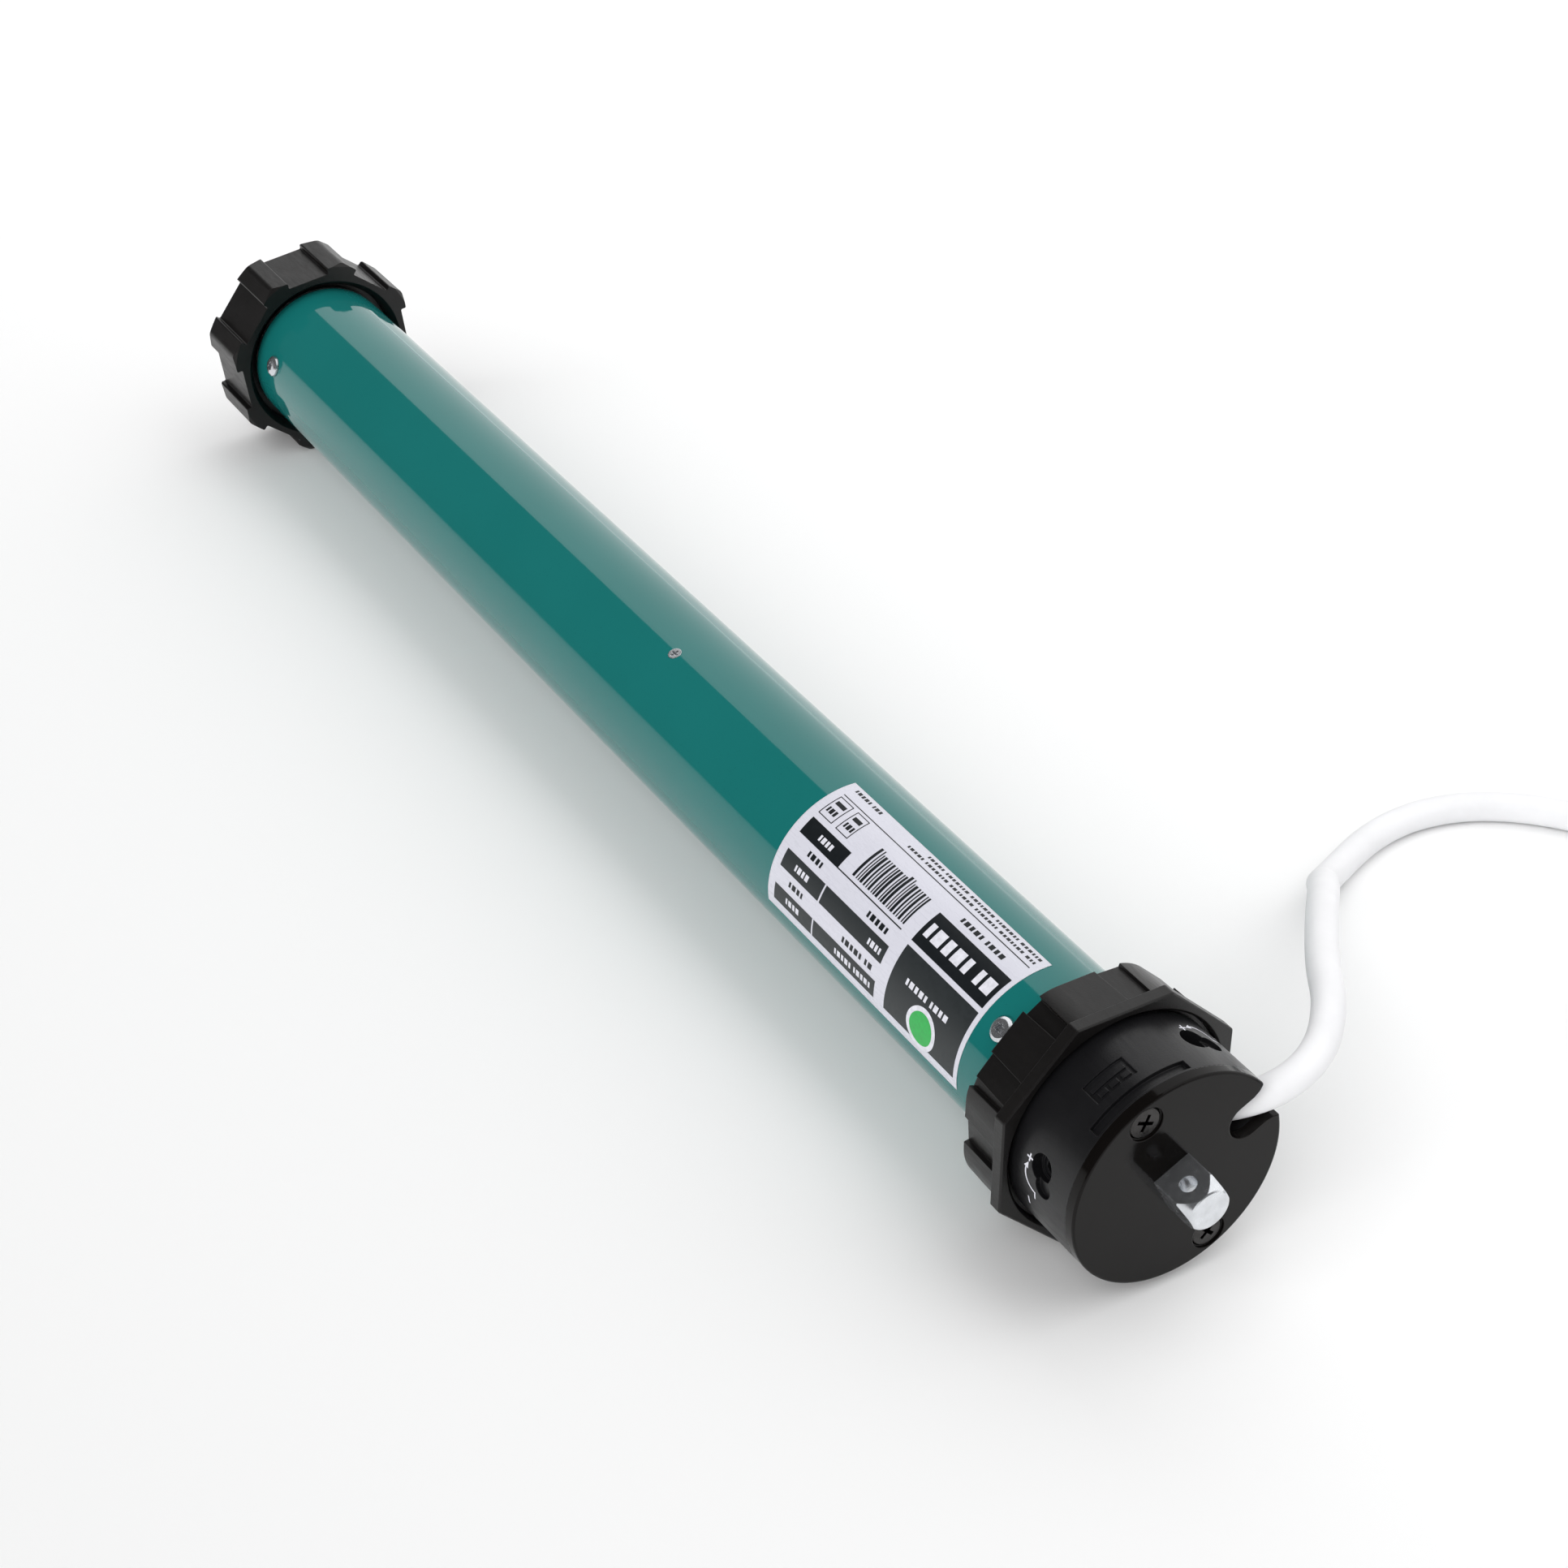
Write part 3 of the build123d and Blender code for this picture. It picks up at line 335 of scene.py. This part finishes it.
def make_materials():
    return {
        "teal_paint": teal_paint(),
        "black_gloss": plastic("black_gloss", (0.0040, 0.0033, 0.0030), 0.10, 1800, 0.02, 0.15, 0.15),
        "black_matte": plastic("black_matte", (0.0066, 0.0060, 0.0059), 0.36, 2200, 0.2, 0.25, 0.36),
        "dark_head": plastic("dark_head", (0.0076, 0.0075, 0.0084), 0.34, 2600, 0.2, 0.2, 0.38),
        "white_plastic": plastic("white_plastic", (0.76, 0.76, 0.73), 0.35, 1600, 0.1, 0.04),
        "label": plastic("label", (0.64, 0.64, 0.71), 0.28, 1200, 0.03, 0.02),
        "zinc_steel": metal("zinc_steel", (0.70, 0.72, 0.75), 0.22, (60, 500, 500), 0.10, 0.08,
                            metallic=0.93),
        "blackened_steel": metal("blackened_steel", (0.055, 0.053, 0.052), 0.30, (60, 700, 700), 0.25),
        "machined_steel": metal("machined_steel", (0.52, 0.52, 0.53), 0.24, (1400, 60, 60), 0.1),
        "lamination": laminations(),
        "rotor_alloy": metal("rotor_alloy", (0.68, 0.68, 0.70), 0.34, (900, 80, 80), 0.12),
        "cast_alloy": metal("cast_alloy", (0.50, 0.51, 0.52), 0.46, (300, 300, 300), 0.15, 0.4),
        "copper": copper_wire(),
        "capacitor_case": plastic("capacitor_case", (0.68, 0.68, 0.64), 0.3, 900, 0.08, 0.04),
        "wires": plastic("wires", (0.10, 0.22, 0.50), 0.4, 1500, 0.1, 0.1),
        "sintered": metal("sintered", (0.20, 0.195, 0.19), 0.42, (700, 700, 700), 0.3, 0.5),
        "bronze": metal("bronze", (0.50, 0.30, 0.12), 0.38, (1200, 90, 90), 0.2),
        "friction": plastic("friction", (0.06, 0.05, 0.045), 0.8, 1400, 0.6, 0.4),
        "switch_case": plastic("switch_case", (0.03, 0.03, 0.035), 0.45, 2000, 0.3, 0.2),
        "white_cable": cable_sheath(),
        "ink_black": print_ink("ink_black", (0.006, 0.008, 0.010)),
        "ink_grey": print_ink("ink_grey", (0.020, 0.024, 0.026)),
        "ink_white": print_ink("ink_white", (0.70, 0.70, 0.76)),
        "ink_green": print_ink("ink_green", (0.030, 0.40, 0.08)),
        "core_blue": plastic("core_blue", (0.02, 0.12, 0.50), 0.4, 1500, 0.1, 0.1),
        "core_brown": plastic("core_brown", (0.16, 0.06, 0.02), 0.4, 1500, 0.1, 0.1),
        "core_black": plastic("core_black", (0.015, 0.015, 0.015), 0.4, 1500, 0.1, 0.1),
        "core_earth": plastic("core_earth", (0.25, 0.45, 0.04), 0.4, 1500, 0.1, 0.1),
    }


# ------------------------------------------------------------------ mesh helpers


def mesh_object(name, vertices, faces, smooth=True):
    mesh = bpy.data.meshes.new(name)
    mesh.from_pydata(vertices, [], faces)
    mesh.update()
    if smooth:
        mesh.shade_smooth()
    obj = bpy.data.objects.new(name, mesh)
    bpy.context.scene.collection.objects.link(obj)
    return obj


def on_tube(radius, x, angle):
    return (x, radius * cos(radians(angle)), radius * sin(radians(angle)))


class Patches:
    """Thin printed shapes that lie on a cylinder about the motor's axis, joined in one mesh."""

    def __init__(self, radius):
        self.radius = radius
        self.vertices = []
        self.faces = []

    def strip(self, pairs):
        """Faces between each pair of (x in millimetres, angle in degrees) points and the next."""
        first = len(self.vertices)
        for pair in pairs:
            self.vertices += [on_tube(self.radius, x * MM, angle) for x, angle in pair]
        for k in range(first, len(self.vertices) - 2, 2):
            self.faces.append((k, k + 1, k + 3, k + 2))

    def rectangle(self, x0, x1, a0, a1):
        """From x0 to x1 in millimetres and from a0 to a1 in degrees about X."""
        steps = max(1, round((a1 - a0) / 2))
        angles = [a0 + (a1 - a0) * i / steps for i in range(steps + 1)]
        self.strip([((x0, angle), (x1, angle)) for angle in angles])

    def shape(self, points):
        """A small convex outline of (x in millimetres, angle in degrees) points."""
        first = len(self.vertices)
        self.vertices += [on_tube(self.radius, x * MM, angle) for x, angle in points]
        self.faces.append(tuple(range(first, first + len(points))))

    def disc(self, x, angle, half_x, half_angle, steps=18):
        """An ellipse in narrow strips along X, so that it follows the cylinder."""
        pairs = []
        for i in range(steps + 1):
            turn = pi * i / steps - pi / 2
            wide, high = half_x * cos(turn), angle + half_angle * sin(turn)
            pairs.append(((x - wide, high), (x + wide, high)))
        self.strip(pairs)

    def piece(self, name, body, material):
        obj = mesh_object(name, self.vertices, self.faces)
        obj.data.materials.append(material)
        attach(obj, body)
        return obj


# ------------------------------------------------------------------ rating label

PRINT_LIFT = 0.025 * MM
# Boxes are (x0, x1, a0, a1): x in millimetres and angles in degrees about X.
BLACK_BOXES = (
    (-81.5, -52.8, 110.2, 133.2),
    (-130.3, -113.2, 121.0, 133.4),
    (-113.2, -85.8, 132.6, 133.4),
    (-130.6, -53.2, 97.0, 97.7),
)
GREY_BOXES = (
    (-81.5, -52.8, 136.4, 181.0),
    (-130.3, -113.4, 145.4, 157.4),
    (-130.3, -113.4, 169.4, 181.0),
    (-112.8, -85.8, 145.4, 157.4),
    (-112.8, -85.8, 169.4, 181.0),
)
# Rows of marks are boxes with the size of a mark and the gap between two.
BLACK_ROWS = (
    (-99, -53.6, 87.6, 89.6, 1.15, 0.45),
    (-105, -53.6, 92.0, 94.0, 1.15, 0.45),
    (-130, -118, 88.0, 90.6, 1.15, 0.45),
    (-76, -58.6, 102.4, 105.8, 1.5, 0.6),
    (-123.6, -117.6, 137.2, 141.0, 1.5, 0.6),
    (-97.0, -87.6, 138.0, 142.0, 1.5, 0.6),
    (-125.0, -119.0, 161.4, 165.0, 1.5, 0.6),
    (-101.0, -87.6, 162.2, 166.0, 1.5, 0.6),
    (-129.4, -125.2, 109.0, 113.0, 1.2, 0.4),
    (-121.8, -118.4, 109.0, 113.0, 1.2, 0.4),
)
WHITE_ROWS = (
    (-80.0, -54.0, 117.0, 126.6, 3.2, 1.1),
    (-76.0, -58.4, 151.0, 155.0, 1.5, 0.6),
    (-124.0, -118.4, 125.4, 129.4, 1.3, 0.5),
    (-125.0, -118.4, 149.6, 153.6, 1.3, 0.5),
    (-92.6, -87.4, 150.0, 154.0, 1.3, 0.5),
    (-125.0, -119.0, 173.0, 177.0, 1.3, 0.5),
    (-103.0, -87.6, 173.4, 177.4, 1.3, 0.5),
)
BAR_WIDTHS = (0.9, 0.4, 0.4, 0.9, 0.6, 0.4, 0.8, 0.4, 0.6, 0.9, 0.4, 0.7)
DISC_AT = (-66.7, 170.6)


def marks(patches, x0, x1, a0, a1, size, gap):
    """A row of short dashes that stands for a line of small print."""
    x, count = x0, 0
    while x + size * 0.5 < x1:
        wide = size * (0.55, 1.0, 0.75, 1.0, 0.6)[count % 5]
        patches.rectangle(x, min(x + wide, x1), a0, a1)
        x += wide + gap * (2.6 if count % 7 == 4 else 1.0)
        count += 1


def bar_row(patches, x, x1, a0, a1):
    """Upright bars of uneven width that carry no code, two in every twelve of them longer."""
    count = 0
    while x < x1:
        wide = BAR_WIDTHS[count % 12]
        long_bar = count % 12 < 2
        patches.rectangle(x, x + wide, a0 - 2.2 if long_bar else a0, a1)
        x += wide + BAR_WIDTHS[(count * 5 + 3) % 12] * 0.55 + 0.12
        count += 1


def frame_box(patches, x0, x1):
    """A thin square frame with a bar in it."""
    patches.rectangle(x0, x1, 99.6, 100.2)
    patches.rectangle(x0, x1, 116.4, 117.0)
    patches.rectangle(x0, x0 + 0.3, 99.6, 117.0)
    patches.rectangle(x1 - 0.3, x1, 99.6, 117.0)
    patches.rectangle(x0 + 1.0, x1 - 1.0, 103.0, 106.0)


def make_label_print(materials):
    outer = TUBE_R + LABEL_T
    black = Patches(outer + PRINT_LIFT)
    for box in BLACK_BOXES:
        black.rectangle(*box)
    bar_row(black, -108.4, -86.2, 108.2, 130.0)
    frame_box(black, -130.4, -124.6)
    frame_box(black, -122.8, -117.6)
    for row in BLACK_ROWS:
        marks(black, *row)
    black.piece("label_black_print", "motor", materials["ink_black"])

    grey = Patches(outer + PRINT_LIFT)
    for box in GREY_BOXES:
        grey.rectangle(*box)
    grey.piece("label_grey_print", "motor", materials["ink_grey"])

    white = Patches(outer + 2 * PRINT_LIFT)
    for row in WHITE_ROWS:
        marks(white, *row)
    white.disc(*DISC_AT, 5.7, 13.2)
    white.piece("label_white_print", "motor", materials["ink_white"])

    green = Patches(outer + 3 * PRINT_LIFT)
    green.disc(*DISC_AT, 4.4, 10.2)
    green.piece("label_green_print", "motor", materials["ink_green"])


# ------------------------------------------------------------------ marks on the head


def make_head_marks(materials):
    """Beside each adjuster's hole, in millimetres: a plus, an arrow to it from a dash, and a minus.

    The plus is the end nearer the top.
    """
    degree = degrees(MM / DRUM_R)
    patches = Patches(DRUM_R + 0.03 * MM)
    middle_x, radius, half_line = -13.5, 4.2, 0.22
    for side, hole in ((1, 141.5), (-1, 38.5)):
        centre = hole + HEAD_ROLL + 6.8 * side

        def at(distance, turn):
            """A point about the arrow's middle; the turn runs from the plus round to the minus."""
            along, around = -distance * cos(radians(turn)), distance * sin(radians(turn))
            return middle_x + along, centre + side * around * degree

        def stroke(x, around, half_x, half_around):
            angle = centre + side * around * degree
            patches.rectangle(x - half_x, x + half_x, angle - half_around * degree,
                              angle + half_around * degree)

        # The arrow's curved line and its head, then the plus, the dash and the minus.
        steps = 12
        turns = [-8 + 96 * i / steps for i in range(steps + 1)]
        for a, b in zip(turns, turns[1:]):
            patches.shape([at(radius - half_line, a), at(radius + half_line, a),
                           at(radius + half_line, b), at(radius - half_line, b)])
        patches.shape([at(radius - 0.75, -6), at(radius + 0.75, -6), at(radius, -30)])
        stroke(-17.0, -3.3, 1.0, half_line)
        stroke(-17.0, -3.3, half_line, 1.0)
        stroke(-13.9, 5.0, half_line, 1.05)
        stroke(-16.5, 8.5, half_line, 1.2)
    patches.piece("limit_direction_marks", "motor", materials["ink_white"])


# ------------------------------------------------------------------ supply cable

# Everything about the cable is in millimetres.
CABLE_R = 3.9
CORE_R = 1.25
COLLAR_R = 1.55
CABLE_Z = FLOOR_Z / MM + CABLE_R
COIL_CENTRE = (10.0, 198.0)
COIL_MEAN_R = 42.5
CABLE_ROUTE = [
    (-8.9, 15.6, 7.3),
    (-1.6, 23.3, 11.1),
    (-2.4, 38.4, 15.6),
    (-12.9, 49.9, 18.0),
    (-25.1, 57.5, 17.0),
    (-44.4, 73.7, 12.0),
    (-66.9, 94.6, 0.0),
    (-92.0, 117.0, CABLE_Z),
    (-104.0, 146.0, CABLE_Z),
    (-102.0, 170.0, CABLE_Z),
    (-88.0, 190.0, CABLE_Z),
    (-61.5, 206.5, CABLE_Z),
    (-36.9, 225.2, CABLE_Z),
]
TAIL_ROUTE = [
    (60.3, 177.8, CABLE_Z + 2 * CABLE_R),
    (60.8, 162.0, CABLE_Z + 6.0),
    (62.0, 143.0, CABLE_Z),
    (62.3, 127.0, CABLE_Z),
]


def between(value, start, end):
    """0 before start, 1 after end, and a smooth step in the middle."""
    t = min(1.0, max(0.0, (value - start) / (end - start)))
    return t * t * (3 - 2 * t)


def coil_points():
    """Three turns inwards on the floor, then up and outwards on top of them.

    The turns are round, and each steps to the next place over a short stretch of its last quarter.
    """
    step = 2 * CABLE_R
    entry = 128.0  # the angle about Z where the cable meets the coil
    last = 5 * 360 + entry
    count = round(last / 15)
    points = []
    for i in range(1, count):
        turned = last * i / count
        inwards = between(turned, 320, 360) + between(turned, 680, 720)
        outwards = between(turned, 1300, 1350) + between(turned, 1660, 1710)
        radius = COIL_MEAN_R + step * (1 - inwards + outwards)
        height = CABLE_Z + step * between(turned, 990, 1040)
        angle = radians(entry - turned)
        points.append((COIL_CENTRE[0] + radius * cos(angle), COIL_CENTRE[1] + radius * sin(angle), height))
    return points


def nurbs(name, points, radius):
    """A round bar that follows a smooth spline with these control points, in millimetres."""
    data = bpy.data.curves.new(name, "CURVE")
    data.dimensions = "3D"
    data.bevel_depth = radius * MM
    data.bevel_resolution = 8
    data.resolution_u = 10
    data.use_fill_caps = True
    spline = data.splines.new("NURBS")
    spline.points.add(len(points) - 1)
    for point, place_mm in zip(spline.points, points):
        point.co = (*(v * MM for v in place_mm), 1)
    spline.order_u = 3
    spline.use_endpoint_u = True
    obj = bpy.data.objects.new(name, data)
    bpy.context.scene.collection.objects.link(obj)
    return obj


def make_cores(materials):
    """Four cores that fan out on the floor, each with a crimped ferrule on its end."""
    x, y, z = TAIL_ROUTE[-1]
    low = FLOOR_Z / MM + COLLAR_R + 0.05
    names = ("core_blue", "core_brown", "core_black", "core_earth")
    places = ((-1, 1, -5.5), (-1, -1, -1.9), (1, -1, 1.9), (1, 1, 5.5))
    pieces = []
    for name, (column, row, fan) in zip(names, places):
        end = (x + 2.4 * fan, y - 42, low)
        route = [(x + 1.4 * column, y + 0.3, z + 1.4 * row), (x + 1.5 * column, y - 3, z + 1.3 * row),
                 (x + 0.5 * fan + 0.5 * column, y - 10, (z + low) / 2 + 0.4 * row),
                 (x + 1.0 * fan, y - 19, low), (x + 1.8 * fan, y - 31, low), end]
        core = nurbs(name, route, CORE_R)
        core.data.materials.append(materials[name])
        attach(core, "motor")
        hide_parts("cable_cores")
        pieces.append(core)
        towards = (Vector(end) - Vector(route[-2])).normalized()
        pieces.append(make_ferrule(name.replace("core", "ferrule"), Vector(end), towards, materials))
    return pieces


def make_ferrule(name, end, towards, materials):
    """A collar and a crimped sleeve, turned about the core's line.

    The outline is the distance past the core's end and the radius there.
    """
    outline = [(-3.0, 1.30), (-2.6, COLLAR_R), (0.4, COLLAR_R), (0.8, 1.1), (1.6, 0.95), (2.2, 0.8),
               (2.8, 0.95), (3.4, 0.8), (4.0, 0.95), (4.6, 0.8), (5.2, 0.95), (6.0, 0.9), (6.2, 0.7),
               (6.2, 0.0)]
    side = towards.orthogonal().normalized()
    other = towards.cross(side)
    count = 20
    vertices, faces = [], []
    for along, radius in outline:
        for i in range(count):
            turn = 2 * pi * i / count
            point = end + towards * along + (side * cos(turn) + other * sin(turn)) * radius
            vertices.append(point * MM)
    for ring in range(len(outline) - 1):
        for i in range(count):
            a, b = ring * count + i, ring * count + (i + 1) % count
            faces.append((a, b, b + count, a + count))
    sleeve = mesh_object(name, vertices, faces)
    sleeve.data.materials.append(materials["zinc_steel"])
    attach(sleeve, "motor")
    return sleeve


def make_tie(name, angle, materials):
    """A plastic tie round all the coil's turns, with its square head on the outside."""
    half_w, high = 3 * CABLE_R + 0.2, 4 * CABLE_R + 0.2
    corner, thick, wide = 3.4, 0.7, 1.8
    # The band's inner outline, as corner centres and the directions outwards from them.
    loop = []
    for side, centre_z, start in ((1, high - corner, 0), (-1, high - corner, 90),
                                  (-1, corner + thick, 180), (1, corner + thick, 270)):
        for i in range(7):
            turn = radians(start + 15 * i)
            loop.append((side * (half_w - corner), centre_z, cos(turn), sin(turn)))
    vertices, faces = [], []
    for r, z, dr, dz in loop:
        for out, across in ((0, -wide), (thick, -wide), (thick, wide), (0, wide)):
            vertices.append((r + dr * (corner + out), across, z + dz * (corner + out)))
    count = len(loop)
    for i in range(count):
        for k in range(4):
            a, b = 4 * i + k, 4 * i + (k + 1) % 4
            faces.append((a, b, (b + 4) % (4 * count), (a + 4) % (4 * count)))
    # The head, a small box on the band's outer side.
    first = len(vertices)
    for x in (half_w + 0.3, half_w + 4.2):
        for y in (-2.6, 2.6):
            for z in (5.4, 10.2):
                vertices.append((x, y, z))
    quads = ((0, 1, 3, 2), (4, 6, 7, 5), (0, 4, 5, 1), (2, 3, 7, 6), (0, 2, 6, 4), (1, 5, 7, 3))
    faces += [tuple(first + k for k in quad) for quad in quads]
    turn = Matrix.Rotation(radians(angle), 4, "Z")
    centre = Vector((*COIL_CENTRE, FLOOR_Z / MM))
    placed = [(centre + turn @ (Vector((COIL_MEAN_R, 0, 0)) + Vector(v))) * MM for v in vertices]
    tie = mesh_object(name, placed, faces, smooth=False)
    tie.data.materials.append(materials["black_matte"])
    bevel = tie.modifiers.new("edges", "BEVEL")
    bevel.width = 0.2 * MM
    bevel.segments = 2
    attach(tie, "motor")
    return tie


def make_cable(materials):
    cable = nurbs("supply_cable", CABLE_ROUTE + coil_points() + TAIL_ROUTE, CABLE_R)
    cable.data.materials.append(materials["white_cable"])
    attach(cable, "motor")
    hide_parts("cable", "cable_coil", "cable_tail")
    cores = make_cores(materials)
    ties = [make_tie("coil_tie_a", 250, materials), make_tie("coil_tie_b", 40, materials)]


# ------------------------------------------------------------------ putting it together

make_camera()
make_stage()
materials = make_materials()
make_cable(materials)

# The slot named cores has four colours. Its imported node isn't shown, and takes the first.
slot_of = {row["node"]: row["material_slot"] for row in frame["record"]["subparts"]}
for name, obj in nodes.items():
    slot = "core_blue" if slot_of[name] == "cores" else slot_of[name]
    obj.data.materials.clear()
    obj.data.materials.append(materials[slot])

make_label_print(materials)
make_head_marks(materials)
